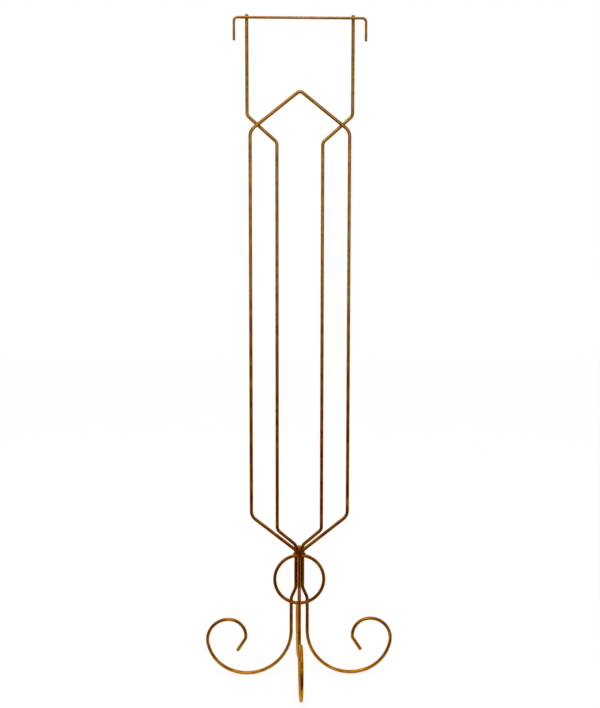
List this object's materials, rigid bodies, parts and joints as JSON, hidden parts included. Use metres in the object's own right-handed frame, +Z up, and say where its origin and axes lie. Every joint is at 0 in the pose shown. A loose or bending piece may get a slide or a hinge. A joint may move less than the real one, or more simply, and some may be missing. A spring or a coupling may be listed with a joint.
{
  "type": "wire display stand",
  "caption": "Tall open stand of bent round rod: looped frame, cross bar with turned-down ends, ring at the hub and scroll legs.",
  "frame": {"origin": "on the floor, on the stand's axis: midway between the two rows of rods and midway between the two side rods", "axes": "+Z up; the frame's flat side lies along X, +X to the viewer's right; the front, with the ring and the front leg, faces -Y"},
  "size_m": [0.3532, 0.3382, 1.2192],
  "materials": {
    "frame_rod": "aged copper, mottled, semi-gloss",
    "bar_rod": "aged copper, mottled, semi-gloss",
    "weld_bead": "dark aged copper over a rough bead"
  },
  "bodies": {
    "root": {"top_bar": "bar_rod", "side_rod_left": "frame_rod", "side_rod_right": "frame_rod", "outer_loop": "frame_rod", "ring": "frame_rod", "leg_front": "frame_rod", "leg_back": "frame_rod", "weld_bar_left": "weld_bead", "weld_bar_right": "weld_bead", "weld_cross_left": "weld_bead", "weld_cross_right": "weld_bead", "weld_hub_front_left": "weld_bead", "weld_hub_front_right": "weld_bead", "weld_hub_back_left": "weld_bead", "weld_hub_back_right": "weld_bead", "weld_loop_end_left": "weld_bead", "weld_loop_end_right": "weld_bead", "weld_ring_top_left": "weld_bead", "weld_ring_top_right": "weld_bead", "weld_ring_foot_left": "weld_bead", "weld_ring_foot_right": "weld_bead"}
  },
  "joints": []
}
